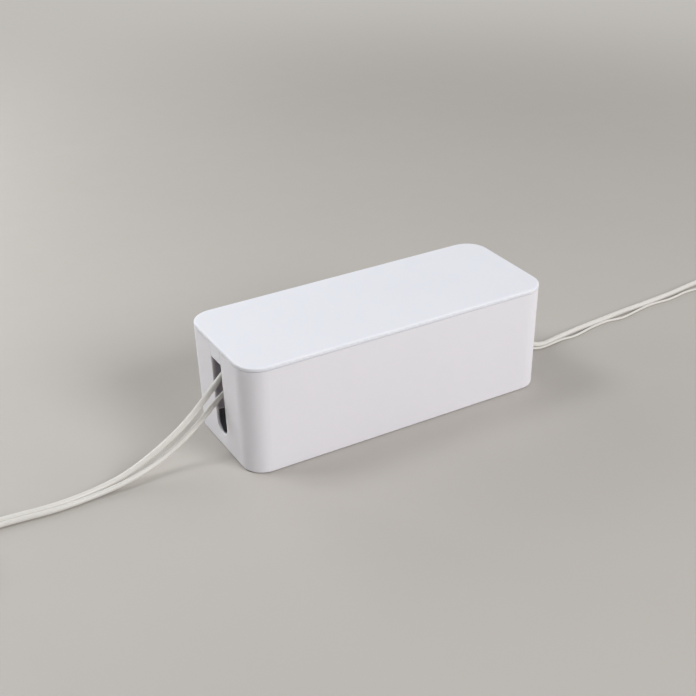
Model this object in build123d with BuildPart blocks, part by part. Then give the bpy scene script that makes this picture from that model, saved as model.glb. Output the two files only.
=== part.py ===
from build123d import *

import os
from math import cos, pi, radians, sin, tan

# Cable box with a lift-off lid. It stands on the table at z = 0, its length runs along X, and the
# origin is under its middle. All sizes are in millimetres.

# ---- the box and its lid -------------------------------------------------------------------------
box_length = 400.0  # over the lid
box_width = 156.0  # over the lid
box_height = 135.7  # shell and lid together, without the feet
draft_angle = 1.2  # the sides lean outwards towards the top
corner_radius = 28.0  # upright corners, at the lid's top
wall = 3.0
floor_thickness = 3.7
bottom_edge_radius = 1.2
lid_thickness = 4.3  # height of the lid's visible edge
lid_skin = 2.6  # the lid's top wall inside that edge
lid_edge_radius = 1.3
shadow_gap = 0.7  # groove between the lid and the shell
shadow_depth = 1.4
rim_depth = 8.0  # locating rim under the lid
rim_thickness = 1.6
rim_clearance = 0.5
slot_width = 26.0  # cable slot in each end wall
slot_sill = 17.7  # bottom of the slot, above the shell's bottom
slot_head = 114.1  # bottom of the lid's tab, above the shell's bottom
slot_edge_radius = 0.8
tab_clearance = 0.35
tab_chamfer = 0.6
foot_stand = 0.8  # gap under the shell
foot_diameter = 14.0
foot_recess = 0.8
foot_clearance = 0.2
foot_edge_radius = 0.4
foot_inset_x = 34.0
foot_inset_y = 26.0

# ---- the socket strip inside ---------------------------------------------------------------------
strip_y = 14.0  # the strip lies a little behind the middle
strip_width = 54.0
strip_height = 38.0
strip_corner = 4.0
strip_edge_radius = 2.0
cover_wall = 2.2
base_thickness = 2.5
first_socket_x = -100.0
socket_pitch = 45.0
socket_count = 4
end_margin = 30.0  # from the first socket's centre to the strip's end
well_radius = 19.75
well_depth = 15.0
well_wall = 1.6
well_floor = 1.8
pin_spacing = 19.0
pin_radius = 2.4
pin_length = 19.0
pin_hole_radius = 2.9
bar_thickness = 0.8
bar_end = 13.0  # how far the contact bars pass the outer sockets
finger_gap = 0.15
finger_width = 5.0
finger_height = 15.0
earth_bar_width = 6.0
earth_finger_inner = 18.5  # from the socket's axis
earth_finger_thickness = 0.7
earth_finger_drop = 4.0  # the fingers stop this far below the strip's top
earth_slot_clearance = 0.4

switch_offset = 42.0  # from the last socket's axis
switch_end = 35.0  # from the switch to the strip's end
switch_body_x = 20.4
switch_body_y = 30.0
switch_window_clearance = 0.2
bezel_lip = 2.3
bezel_height = 2.0
bezel_edge_radius = 0.5
switch_wall = 2.0
switch_depth = 14.0
rocker_gap = 0.3
rocker_radius = 12.4
rocker_bottom = 5.0
rocker_top = 6.2
rocker_angle = 10.0
pivot_depth = 3.9  # below the strip's top
pivot_radius = 1.5
pivot_clearance = 0.06
pivot_length = 1.6
terminal_length = 7.0
terminal_width = 5.0
terminal_wire_drop = 4.5  # the line wire meets its terminal this far below the switch

screw_radius = 1.5
screw_clearance = 0.1
screw_head_radius = 2.9
screw_head_height = 1.4
screw_length = 16.0
boss_radius = 3.2
screw_inset_x = 7.0
screw_inset_y = 6.0
clamp_screw_radius = 1.4
clamp_screw_offset = 8.5
clamp_length = 8.0
clamp_width = 24.0
clamp_thickness = 3.0
clamp_inset = 12.0  # from the strip's end to the clamp's middle
clamp_gap = 0.05
clamp_foot_width = 6.0
clamp_screw_depth = 5.0
clamp_screw_reach = 4.5
boss_bore_depth = 15.0
wire_radius = 1.1
wire_gap = 1.0
wire_spread = 2.4
wire_lay = 0.05
line_wire_start = 5.5  # straight stretches at the ends of the three inner wires
line_wire_end = 4.5
neutral_wire_start = 12.0
neutral_wire_end = 17.0
earth_wire_start = 11.0
earth_wire_end = 10.0
bar_wire_overlap = 5.0  # how far a wire lies along its bar
earth_bar_tail = 8.0
supply_collar_radius = 5.2

# ---- plugs, connectors and cords ------------------------------------------------------------------
plug_radius = 18.2
plug_seat_gap = 0.2  # the plug's face over the socket's floor
plug_straight = 18.0
plug_height = 27.5
plug_neck_radius = 7.6
plug_neck_flare = 3.0
plug_neck_fall = 1.5
plug_pin_depth = 6.0
plug_pin_clearance = 0.05
pin_tip_radius = 1.2
earth_strip_width = 5.6
earth_strip_thickness = 0.7
earth_strip_length = 13.0
earth_strip_sink = 0.3  # below the plug's side
angled_plug_height = 36.0
angled_plug_edge = 5.0
angled_plug_axis = 28.3  # height of the side outlet over the plug's face
angled_boss_radius = 8.2
angled_boss_reach = 19.0
angled_plug_turn = 225.0  # compass of the side outlet, degrees from +X
charger_width = 34.0  # along X
charger_depth = 46.0  # along Y
charger_height = 40.0
charger_foot = 15.4
charger_edge = 5.0
charger_top_edge = 2.5
charger_pin_radius = 2.0
charger_outlet_y = -14.0  # from the charger's axis
charger_outlet_z = 28.3  # over its face
cord_clearance = 0.1
sleeve_wall = 0.9
sleeve_flare = 2.9  # how much thicker the wall is at the housing
spigot_radius = 5.2
spigot_length = 7.0
thin_spigot_radius = 2.4
thin_spigot_length = 3.0
groove_radius = 0.6
groove_pitch = 4.0
mains_connector_sleeve = 20.0
upper_connector_width = 27.0
upper_connector_thickness = 19.0
lower_connector_width = 24.0
lower_connector_thickness = 17.0
connector_grip = 24.0
connector_nose = 18.0
connector_step = 1.5
connector_corner = 3.0
connector_chamfer = 4.0
connector_slot_width = 2.4
connector_slot_height = 5.0
connector_slot_depth = 14.0
connector_slot_stagger = 1.25
connector_slot_spacing = 7.0
barrel_radius = 5.0
barrel_length = 22.0
barrel_edge_radius = 1.0
barrel_tip_radius = 2.75
barrel_tip_bore = 1.25
barrel_tip_length = 9.5

upper_diameter = 7.0
lower_diameter = 6.0
supply_diameter = 7.0
thin_diameter = 3.2
mains_sleeve_length = 20.0
supply_sleeve_length = 28.0
thin_sleeve_length = 9.0
supply_axis = 11.5  # height of the supply cord over the box's floor
tie_thickness = 0.8
tie_gap = 0.1
tie_width = 10.0
lay_gap = 0.1  # a lying cord's underside over the table

# Worked out from the sizes above.
slope = tan(radians(draft_angle))
shell_bottom = foot_stand
lid_top = shell_bottom + box_height
lid_seat = lid_top - lid_thickness
rim_top = lid_seat - shadow_gap
floor_top = shell_bottom + floor_thickness
sill_z = shell_bottom + slot_sill
head_z = shell_bottom + slot_head
base_top = floor_top + base_thickness
strip_top = floor_top + strip_height
well_bottom = strip_top - well_depth
sockets = [first_socket_x + socket_pitch * i for i in range(socket_count)]
switch_x = sockets[-1] + switch_offset
strip_left = sockets[0] - end_margin
strip_right = switch_x + switch_end
strip_length = strip_right - strip_left
strip_middle = (strip_left + strip_right) / 2
supply_z = floor_top + supply_axis
clamp_x = strip_right - clamp_inset
pin_offset = pin_spacing / 2
plug_face = well_bottom + plug_seat_gap
slot_middle_z = sill_z + slot_width / 2
tab_depth = wall + rim_clearance + rim_thickness
foot_x = box_length / 2 - foot_inset_x
foot_y = box_width / 2 - foot_inset_y
earth_middle = earth_finger_inner + earth_finger_thickness / 2
saddle_top = supply_z - supply_diameter / 2 - clamp_gap
clamp_bottom = supply_z + supply_diameter / 2 + clamp_gap
switch_bottom = strip_top - switch_depth
pivot_z = strip_top - pivot_depth
rocker_width = switch_body_x - 2 * switch_wall - 2 * rocker_gap
wire_start = clamp_x - clamp_length / 2 - wire_gap

# Cord routes: points chosen along the way each cord lies. A lying cord's centre is at its radius.
upper_lay = upper_diameter / 2 + lay_gap
lower_lay = lower_diameter / 2 + lay_gap
supply_lay = supply_diameter / 2 + lay_gap
thin_lay = thin_diameter / 2 + lay_gap

upper_route = [
    (-100.0, 14.0, 58.0),
    (-100.0, 14.0, 88.0),
    (-119.0, 10.1, 114.7),
    (-151.6, 3.9, 121.8),
    (-180.8, 0.7, 105.6),
    (-207.0, -0.6, 80.6),
    (-240.0, -3.2, 50.2),
    (-275.0, -6.2, 29.2),
    (-315.0, -8.4, 11.0),
    (-352.0, -10.6, upper_lay),
    (-404.0, -15.6, upper_lay),
    (-450.0, -10.8, upper_lay),
    (-486.0, -8.8, upper_lay),
    (-522.0, -8.5, upper_lay),
]
lower_route = [
    (-73.4, -4.4, 56.0),
    (-90.4, -21.4, 56.0),
    (-112.0, -31.0, 61.0),
    (-137.0, -29.5, 73.0),
    (-161.0, -18.0, 84.0),
    (-183.0, -6.0, 82.6),
    (-203.0, -2.5, 65.4),
    (-224.0, -5.2, 48.2),
    (-250.0, -7.8, 29.8),
    (-284.0, -13.0, 14.6),
    (-320.0, -18.0, 7.2),
    (-354.0, -18.9, lower_lay),
    (-404.0, -22.8, lower_lay),
    (-450.0, -17.6, lower_lay),
    (-489.0, -16.6, lower_lay),
    (-529.0, -18.5, lower_lay),
]
supply_route = [
    (121.0, 14.0, 16.0),
    (154.0, 14.0, 16.0),
    (180.0, 6.0, 32.0),
    (206.0, 0.8, 31.9),
    (229.0, -2.2, 15.6),
    (254.0, -3.0, supply_lay),
    (280.0, 1.5, supply_lay),
    (307.0, 5.4, supply_lay),
    (340.0, 9.3, supply_lay),
    (370.0, 11.5, supply_lay),
    (406.0, 15.1, supply_lay),
    (452.0, 17.7, supply_lay),
    (505.0, 21.9, supply_lay),
    (552.0, 29.4, supply_lay),
    (598.0, 31.3, supply_lay),
    (632.0, 30.2, supply_lay),
    (657.0, 28.5, supply_lay),
]
thin_route = [
    (54.0, 0.0, 56.0),
    (68.0, 0.0, 56.0),
    (84.0, -8.6, 53.0),
    (100.0, -18.6, 43.0),
    (114.0, -23.0, 28.0),
    (131.0, -22.0, 11.5),
    (148.0, -18.0, 5.2),
    (165.0, -12.8, 10.5),
    (176.0, -9.4, 22.0),
    (189.0, -7.6, 32.0),
    (205.0, -7.0, 31.5),
    (218.0, -6.8, 21.0),
    (229.0, -6.8, 10.0),
    (244.0, -8.0, 4.2),
    (258.0, -7.6, 3.0),
    (272.0, -5.6, 3.0),
    (285.0, -3.4, 2.6),
    (297.0, -2.0, thin_lay),
    (309.0, -4.0, thin_lay),
    (326.0, -0.6, thin_lay),
    (343.0, 3.6, thin_lay),
    (361.0, 6.0, thin_lay),
    (376.0, 7.3, thin_lay),
    (388.0, 5.2, thin_lay),
    (400.0, 3.6, thin_lay),
    (416.0, 6.2, thin_lay),
    (436.0, 10.6, thin_lay),
    (458.0, 13.6, thin_lay),
    (472.0, 13.2, thin_lay),
    (488.0, 11.8, thin_lay),
    (504.0, 13.6, thin_lay),
    (520.0, 16.8, thin_lay),
    (537.0, 17.2, thin_lay),
    (551.0, 14.8, thin_lay),
    (567.0, 11.5, thin_lay),
    (580.0, 11.0, thin_lay),
    (592.0, 10.8, thin_lay),
]

# Each coil: its centre, its width across the middle of the turns, and how many layers of turns it
# has. Two turns lie side by side in each layer, and the ring stands on its tie.
turns_abreast = 2
upper_coil_at = (-529.0, 37.0)
upper_coil_across = 84.0
upper_coil_layers = 2
upper_tie_compass = 45.0
lower_coil_at = (-537.0, -57.5)
lower_coil_across = 72.0
lower_coil_layers = 2
lower_tie_compass = -45.0
supply_coil_at = (672.0, -14.0)
supply_coil_across = 77.0
supply_coil_layers = 2
supply_tie_compass = 0.0
thin_coil_at = (596.0, -10.0)
thin_coil_across = 38.4
thin_coil_layers = 4
thin_tie_compass = 0.0

# The short free ends from each coil to what is on the cord's end. Each last run is level.
upper_connector_axis = upper_connector_thickness / 2 + lay_gap
lower_connector_axis = lower_connector_thickness / 2 + lay_gap
wall_plug_axis = plug_radius + lay_gap
barrel_axis = barrel_radius + lay_gap
upper_tail = [
    (-531.0, -8.5, 11.4),
    (-564.0, -8.5, 11.2),
    (-584.8, 3.4, 10.4),
    (-597.0, 24.2, upper_connector_axis),
    (-597.3, 48.5, upper_connector_axis),
]
lower_tail = [
    (-539.0, -18.5, 9.9),
    (-567.0, -18.7, 9.8),
    (-586.2, -29.4, 9.2),
    (-597.2, -48.3, lower_connector_axis),
    (-597.4, -72.5, lower_connector_axis),
]
supply_tail = [
    (674.0, -56.0, 11.4),
    (655.0, -56.2, 12.2),
    (637.0, -56.6, 16.6),
    (619.0, -57.0, wall_plug_axis),
    (601.0, -57.0, wall_plug_axis),
]
thin_tail = [
    (598.0, -30.8, 12.1),
    (589.0, -30.9, 11.2),
    (579.0, -31.1, 7.4),
    (569.0, -31.3, barrel_axis),
    (560.0, -31.3, barrel_axis),
]

arc_share = 0.45
bottom_align = (Align.CENTER, Align.CENTER, Align.MIN)
top_align = (Align.CENTER, Align.CENTER, Align.MAX)


def half_length(z):
    return box_length / 2 - (lid_top - z) * slope


def half_width(z):
    return box_width / 2 - (lid_top - z) * slope


def corner_at(z):
    return corner_radius - (lid_top - z) * slope


def shell_outline(z, inset=0.0, mode=Mode.ADD):
    # the rounded rectangle of the box's outside at height z, moved inwards by inset
    RectangleRounded(
        2 * (half_length(z) - inset),
        2 * (half_width(z) - inset),
        corner_at(z) - inset,
        mode=mode,
    )


def shell_block(z_low, z_high, inset=0.0, mode=Mode.ADD):
    # a block that fills the leaning outline between two heights
    with BuildSketch(Plane.XY.offset(z_low)) as outline:
        shell_outline(z_low, inset)
    extrude(outline.sketch, amount=z_high - z_low, taper=-draft_angle, mode=mode)


def write(piece, name):
    piece.label = name
    export_step(piece, f"parts/{name}.step")


os.makedirs("parts", exist_ok=True)

# ---- box shell -----------------------------------------------------------------------------------
with BuildPart() as box_body:
    shell_block(shell_bottom, lid_seat)
    fillet(box_body.faces().sort_by(Axis.Z)[0].edges(), bottom_edge_radius)
    shell_block(floor_top, lid_seat, wall, Mode.SUBTRACT)
    # The outer part of the rim stands lower, which leaves the groove under the lid.
    with BuildSketch(Plane.XY.offset(rim_top)):
        shell_outline(lid_top)
        shell_outline(rim_top, shadow_depth, Mode.SUBTRACT)
    extrude(amount=shadow_gap, mode=Mode.SUBTRACT)
    # A slot with a round bottom in each end wall, open at the rim.
    with BuildSketch(Plane.YZ):
        with Locations((0, slot_middle_z)):
            Circle(slot_width / 2)
        with Locations((0, slot_middle_z)):
            Rectangle(slot_width, lid_top - slot_middle_z, align=(Align.CENTER, Align.MIN))
    extrude(amount=box_length, both=True, mode=Mode.SUBTRACT)
    slot_edges = (
        box_body.edges()
        .filter_by(lambda edge: abs(edge.center().X) > half_length(edge.center().Z) - wall / 2)
        .filter_by(lambda edge: abs(edge.center().Y) < slot_width / 2 + slot_edge_radius)
        .filter_by(lambda edge: shell_bottom + bottom_edge_radius < edge.center().Z < rim_top)
    )
    fillet(slot_edges, slot_edge_radius)
    with BuildSketch(Plane.XY.offset(shell_bottom)):
        with GridLocations(2 * foot_x, 2 * foot_y, 2, 2):
            Circle(foot_diameter / 2 + foot_clearance)
    extrude(amount=foot_recess, mode=Mode.SUBTRACT)
write(box_body.part, "box_body")

# ---- feet ----------------------------------------------------------------------------------------
for side_x, end_name in ((-1, "left"), (1, "right")):
    for side_y, row_name in ((-1, "front"), (1, "rear")):
        with BuildPart() as foot:
            with Locations((side_x * foot_x, side_y * foot_y, 0)):
                Cylinder(foot_diameter / 2, foot_stand + foot_recess, align=bottom_align)
            fillet(foot.edges().group_by(Axis.Z)[0], foot_edge_radius)
        write(foot.part, f"foot_{row_name}_{end_name}")

# ---- lid -----------------------------------------------------------------------------------------
with BuildPart() as lid:
    shell_block(lid_seat, lid_top)
    fillet(lid.faces().sort_by(Axis.Z)[-1].edges(), lid_edge_radius)
    rim_foot = lid_seat - rim_depth
    shell_block(rim_foot, lid_seat, wall + rim_clearance)
    for side in (-1, 1):
        with BuildSketch(Plane.XZ):
            with BuildLine():
                Polyline(
                    (side * (half_length(lid_seat) - tab_depth), lid_seat),
                    (side * half_length(lid_seat), lid_seat),
                    (side * half_length(head_z + tab_chamfer), head_z + tab_chamfer),
                    (side * (half_length(head_z) - tab_chamfer), head_z),
                    (side * (half_length(head_z) - tab_depth), head_z),
                    close=True,
                )
            make_face()
        extrude(amount=slot_width / 2 - tab_clearance, both=True)
    # The lid is hollow underneath, inside the rim.
    shell_block(rim_foot, lid_top - lid_skin, tab_depth, Mode.SUBTRACT)
write(lid.part, "lid")


# ---- socket strip --------------------------------------------------------------------------------
strip_plane = Plane.XY.offset(floor_top)
strip_screws_at = [
    (x, strip_y + side * (strip_width / 2 - screw_inset_y))
    for x in (strip_left + screw_inset_x, (sockets[1] + sockets[2]) / 2, strip_right - screw_inset_x)
    for side in (-1, 1)
]

with BuildPart() as strip_base:
    with BuildSketch(strip_plane):
        with Locations((strip_middle, strip_y)):
            RectangleRounded(strip_length, strip_width, strip_corner)
    extrude(amount=base_thickness)
    with BuildSketch(Plane.XY.offset(base_top)):
        with Locations((clamp_x, strip_y)):
            Rectangle(clamp_length, clamp_width)
    extrude(amount=saddle_top - base_top)
    with Locations([(x, y, floor_top) for x, y in strip_screws_at]):
        Cylinder(
            screw_head_radius + screw_clearance,
            screw_head_height,
            align=bottom_align,
            mode=Mode.SUBTRACT,
        )
        Cylinder(
            screw_radius + screw_clearance, base_thickness, align=bottom_align, mode=Mode.SUBTRACT
        )
    with Locations([(clamp_x, strip_y + side * clamp_screw_offset, saddle_top) for side in (-1, 1)]):
        Cylinder(
            clamp_screw_radius + screw_clearance,
            clamp_screw_depth,
            align=top_align,
            mode=Mode.SUBTRACT,
        )
write(strip_base.part, "strip_base")

with BuildPart() as strip_cover:
    with BuildSketch(Plane.XY.offset(base_top)):
        with Locations((strip_middle, strip_y)):
            RectangleRounded(strip_length, strip_width, strip_corner)
    extrude(amount=strip_top - base_top)
    fillet(strip_cover.faces().sort_by(Axis.Z)[-1].edges(), strip_edge_radius)
    with BuildSketch(Plane.XY.offset(base_top)):
        with Locations((strip_middle, strip_y)):
            RectangleRounded(
                strip_length - 2 * cover_wall,
                strip_width - 2 * cover_wall,
                strip_corner - cover_wall,
            )
    extrude(amount=strip_top - cover_wall - base_top, mode=Mode.SUBTRACT)
    # A round cup for each socket.
    cup_height = well_floor + well_depth - strip_edge_radius
    with Locations([(x, strip_y, well_bottom - well_floor) for x in sockets]):
        Cylinder(well_radius + well_wall, cup_height, align=bottom_align)
    with Locations([(x, strip_y, well_bottom) for x in sockets]):
        Cylinder(well_radius, well_depth, align=bottom_align, mode=Mode.SUBTRACT)
    with BuildSketch(Plane.XY.offset(well_bottom)):
        with Locations([(x, strip_y + side * pin_offset) for x in sockets for side in (-1, 1)]):
            Circle(pin_hole_radius)
        with Locations([(x + side * earth_middle, strip_y) for x in sockets for side in (-1, 1)]):
            Rectangle(
                earth_finger_thickness + 2 * earth_slot_clearance,
                finger_width + 2 * earth_slot_clearance,
            )
    extrude(amount=-well_floor, mode=Mode.SUBTRACT)
    # Bosses for the screws that hold the base.
    with Locations([(x, y, base_top) for x, y in strip_screws_at]):
        Cylinder(boss_radius, strip_top - cover_wall / 2 - base_top, align=bottom_align)
    with Locations([(x, y, base_top) for x, y in strip_screws_at]):
        Cylinder(
            screw_radius + screw_clearance, boss_bore_depth, align=bottom_align, mode=Mode.SUBTRACT
        )
    with BuildSketch(Plane.XY.offset(strip_top)):
        with Locations((switch_x, strip_y)):
            Rectangle(
                switch_body_x + 2 * switch_window_clearance,
                switch_body_y + 2 * switch_window_clearance,
            )
    extrude(amount=-2 * cover_wall, mode=Mode.SUBTRACT)
    with BuildSketch(Plane.YZ.offset(strip_right - 2 * cover_wall)):
        with Locations((strip_y, supply_z)):
            Circle(supply_collar_radius + cord_clearance)
    extrude(amount=3 * cover_wall, mode=Mode.SUBTRACT)
write(strip_cover.part, "strip_cover")

with BuildPart() as strip_screws:
    with Locations([(x, y, floor_top) for x, y in strip_screws_at]):
        Cylinder(screw_head_radius, screw_head_height, align=bottom_align)
        Cylinder(screw_radius, screw_length, align=bottom_align)
write(strip_screws.part, "strip_screws")


def contact_bar(y, end_x):
    # a flat brass bar on the base with two upright leaves for each plug pin
    leaf_offset = pin_radius + finger_gap + bar_thickness / 2
    with BuildPart() as bar:
        with Locations((sockets[0] - bar_end, y, base_top)):
            Box(
                end_x - sockets[0] + bar_end,
                2 * leaf_offset + bar_thickness,
                bar_thickness,
                align=(Align.MIN, Align.CENTER, Align.MIN),
            )
        with Locations([(x, y + side * leaf_offset, base_top) for x in sockets for side in (-1, 1)]):
            Box(finger_width, bar_thickness, finger_height, align=bottom_align)
    return bar.part


with BuildPart() as line_bar:
    add(contact_bar(strip_y - pin_offset, switch_x + terminal_width / 2))
    # The bar's end turns up to the switch.
    with Locations((switch_x, strip_y - pin_offset, base_top)):
        Box(terminal_width, bar_thickness, switch_bottom - terminal_length - base_top, align=bottom_align)
write(line_bar.part, "line_bar")
write(contact_bar(strip_y + pin_offset, sockets[-1] + bar_end), "neutral_bar")

with BuildPart() as earth_bar:
    with Locations((sockets[0] - earth_middle - bar_thickness, strip_y, base_top)):
        Box(
            sockets[-1] - sockets[0] + 2 * earth_middle + bar_thickness + earth_bar_tail,
            earth_bar_width,
            bar_thickness,
            align=(Align.MIN, Align.CENTER, Align.MIN),
        )
    with Locations([(x + side * earth_middle, strip_y, base_top) for x in sockets for side in (-1, 1)]):
        Box(
            earth_finger_thickness,
            finger_width,
            strip_top - earth_finger_drop - base_top,
            align=bottom_align,
        )
write(earth_bar.part, "earth_bar")

# ---- switch --------------------------------------------------------------------------------------
with BuildPart() as switch_frame:
    with Locations((switch_x, strip_y, switch_bottom)):
        Box(switch_body_x, switch_body_y, strip_top - switch_bottom, align=bottom_align)
    with BuildSketch(Plane.XY.offset(strip_top)):
        with Locations((switch_x, strip_y)):
            RectangleRounded(
                switch_body_x + 2 * bezel_lip, switch_body_y + 2 * bezel_lip, bezel_lip
            )
    extrude(amount=bezel_height)
    fillet(switch_frame.faces().sort_by(Axis.Z)[-1].edges(), bezel_edge_radius)
    with Locations((switch_x, strip_y, strip_top + bezel_height)):
        Box(
            switch_body_x - 2 * switch_wall,
            switch_body_y - 2 * switch_wall,
            strip_top + bezel_height - switch_bottom - switch_wall,
            align=top_align,
            mode=Mode.SUBTRACT,
        )
    with Locations((switch_x, strip_y, pivot_z)):
        Cylinder(
            pivot_radius + pivot_clearance,
            rocker_width + 2 * (pivot_length + rocker_gap),
            rotation=(0, 90, 0),
            mode=Mode.SUBTRACT,
        )
write(switch_frame.part, "switch_frame")

with BuildPart() as switch_terminals:
    with Locations([(switch_x, y, switch_bottom) for y in (strip_y - pin_offset, strip_y)]):
        Box(terminal_width, bar_thickness, terminal_length, align=top_align)
write(switch_terminals.part, "switch_terminals")

# The rocker rests tilted: its front edge is pressed down.
rocker_plane = Plane(
    origin=(switch_x, strip_y, pivot_z),
    x_dir=(0, cos(radians(rocker_angle)), sin(radians(rocker_angle))),
    z_dir=(1, 0, 0),
)
with BuildPart() as switch_rocker:
    with BuildSketch(rocker_plane):
        Circle(rocker_radius)
        with BuildLine():
            Polyline(
                (0, rocker_top),
                (rocker_radius, rocker_top + rocker_radius * tan(radians(rocker_angle))),
                (rocker_radius, 2 * rocker_radius),
                (-rocker_radius, 2 * rocker_radius),
                (-rocker_radius, rocker_top + rocker_radius * tan(radians(rocker_angle))),
                close=True,
            )
        make_face(mode=Mode.SUBTRACT)
        with Locations((0, -rocker_bottom)):
            Rectangle(
                2 * rocker_radius,
                rocker_radius,
                align=(Align.CENTER, Align.MAX),
                mode=Mode.SUBTRACT,
            )
    extrude(amount=rocker_width / 2, both=True)
    with BuildSketch(rocker_plane):
        Circle(pivot_radius)
    extrude(amount=rocker_width / 2 + pivot_length, both=True)
write(switch_rocker.part, "switch_rocker")

# ---- cord clamp and inner wires ------------------------------------------------------------------
clamp_screws_at = [(clamp_x, strip_y + side * clamp_screw_offset) for side in (-1, 1)]
with BuildPart() as cord_clamp:
    with Locations((clamp_x, strip_y, clamp_bottom)):
        Box(clamp_length, clamp_width, clamp_thickness, align=bottom_align)
        for side in (-1, 1):
            with Locations((0, side * clamp_screw_offset, 0)):
                Box(clamp_length, clamp_foot_width, clamp_bottom - saddle_top, align=top_align)
    with Locations([(x, y, clamp_bottom + clamp_thickness) for x, y in clamp_screws_at]):
        Cylinder(
            clamp_screw_radius + screw_clearance,
            clamp_bottom + clamp_thickness - saddle_top,
            align=top_align,
            mode=Mode.SUBTRACT,
        )
write(cord_clamp.part, "cord_clamp")

with BuildPart() as clamp_screws:
    with Locations([(x, y, clamp_bottom + clamp_thickness) for x, y in clamp_screws_at]):
        Cylinder(screw_head_radius, screw_head_height, align=bottom_align)
        Cylinder(
            clamp_screw_radius,
            clamp_bottom + clamp_thickness - saddle_top + clamp_screw_reach,
            align=top_align,
        )
write(clamp_screws.part, "clamp_screws")


def corner_radii(points):
    # the largest arc that fits each corner: 0.45 of its shorter run, over the tangent of half the turn
    radii = []
    for before, at, after in zip(points, points[1:], points[2:]):
        run_in = Vector(at) - Vector(before)
        run_out = Vector(after) - Vector(at)
        half_turn = radians(run_in.get_angle(run_out)) / 2
        radii.append(arc_share * min(run_in.length, run_out.length) / tan(half_turn))
    return radii


def tube(points, radius, name):
    # a round cord or wire along straight runs joined by tangent arcs
    radii = corner_radii(points)
    with BuildPart() as cord:
        with BuildLine() as way:
            FilletPolyline(*points, radius=radii)
        length = sum(edge.length for edge in way.edges())
        start = Plane(origin=points[0], z_dir=Vector(points[1]) - Vector(points[0]))
        with BuildSketch(start):
            Circle(radius)
        sweep()
    section = pi * radius**2
    share = cord.part.volume / (section * length)
    tightest = min(radii) / (2 * radius)
    print(f"{name}: length {length:.1f}, tightest arc {tightest:.1f} diameters")
    print(f"   volume {share:.4f} of section x length, arcs", [round(value, 1) for value in radii])
    return cord.part


bar_wire_z = base_top + bar_thickness + wire_radius + wire_lay
terminal_face = switch_x + terminal_width / 2
terminal_wire_z = switch_bottom - terminal_wire_drop
neutral_bar_end = sockets[-1] + bar_end
earth_bar_end = sockets[-1] + earth_middle + earth_bar_tail
line_wire_way = [
    (wire_start, strip_y - wire_spread, supply_z),
    (wire_start - line_wire_start, strip_y - wire_spread, supply_z),
    (terminal_face + line_wire_end, strip_y, terminal_wire_z),
    (terminal_face, strip_y, terminal_wire_z),
]
neutral_wire_way = [
    (wire_start, strip_y + wire_spread, supply_z),
    (wire_start - neutral_wire_start, strip_y + wire_spread, supply_z),
    (neutral_bar_end - bar_wire_overlap + neutral_wire_end, strip_y + pin_offset, bar_wire_z),
    (neutral_bar_end - bar_wire_overlap, strip_y + pin_offset, bar_wire_z),
]
earth_wire_way = [
    (wire_start, strip_y, supply_z - wire_spread),
    (wire_start - earth_wire_start, strip_y, supply_z - wire_spread),
    (earth_bar_end - bar_wire_overlap + earth_wire_end, strip_y, bar_wire_z),
    (earth_bar_end - bar_wire_overlap, strip_y, bar_wire_z),
]
write(tube(line_wire_way, wire_radius, "line_wire"), "line_wire")
write(tube(neutral_wire_way, wire_radius, "neutral_wire"), "neutral_wire")
write(tube(earth_wire_way, wire_radius, "earth_wire"), "earth_wire")


# ---- plugs, sleeves and connectors ---------------------------------------------------------------
def tapered_sleeve(mouth, cord_diameter, length, spigot=spigot_radius, spigot_depth=spigot_length):
    # a ribbed rubber sleeve: mouth is a plane on the housing that faces out along the cord
    tip_radius = cord_diameter / 2 + sleeve_wall
    base_radius = tip_radius + sleeve_flare * min(1.0, cord_diameter / supply_diameter)
    bore_radius = cord_diameter / 2 + cord_clearance
    half_section = Plane(origin=mouth.origin, x_dir=mouth.x_dir, z_dir=-mouth.y_dir)
    with BuildPart() as sleeve:
        with BuildSketch(half_section):
            with BuildLine():
                Polyline(
                    (bore_radius, -spigot_depth),
                    (spigot, -spigot_depth),
                    (spigot, 0),
                    (base_radius, 0),
                    (tip_radius, length),
                    (bore_radius, length),
                    close=True,
                )
            make_face()
            grooves = int((length - groove_pitch) / groove_pitch)
            for i in range(grooves):
                height = groove_pitch * (i + 1)
                radius = base_radius + (tip_radius - base_radius) * height / length
                with Locations((radius + groove_radius / 2, height)):
                    Circle(groove_radius, mode=Mode.SUBTRACT)
        revolve(axis=Axis(mouth.origin, mouth.z_dir))
    return sleeve.part


def plug_fittings():
    # the holes for the pins and the seats for the earth strips, cut in the plug that is being built
    with Locations([(0, side * pin_offset, 0) for side in (-1, 1)]):
        Cylinder(
            pin_radius + plug_pin_clearance, plug_pin_depth, align=bottom_align, mode=Mode.SUBTRACT
        )
    strip_floor = plug_radius - earth_strip_sink - earth_strip_thickness
    for side in (-1, 1):
        with Locations((side * (strip_floor + plug_radius) / 2, 0, 0)):
            Box(
                plug_radius - strip_floor,
                earth_strip_width,
                earth_strip_length,
                align=bottom_align,
                mode=Mode.SUBTRACT,
            )


def plug_contacts(seat, radius=pin_radius, earthed=True):
    # two round pins, and the earth strips on the plug's sides
    with BuildPart(seat) as contacts:
        with Locations([(0, side * pin_offset, -pin_length) for side in (-1, 1)]):
            Cylinder(radius, pin_length + plug_pin_depth, align=bottom_align)
        ends = contacts.edges().filter_by(GeomType.CIRCLE)
        tips = [edge for edge in ends if seat.to_local_coords(edge.center()).Z < -pin_length / 2]
        fillet(tips, pin_tip_radius)
        if earthed:
            strip_at = plug_radius - earth_strip_sink - earth_strip_thickness / 2
            with Locations([(side * strip_at, 0, 0) for side in (-1, 1)]):
                Box(earth_strip_thickness, earth_strip_width, earth_strip_length, align=bottom_align)
    return contacts.part


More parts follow.
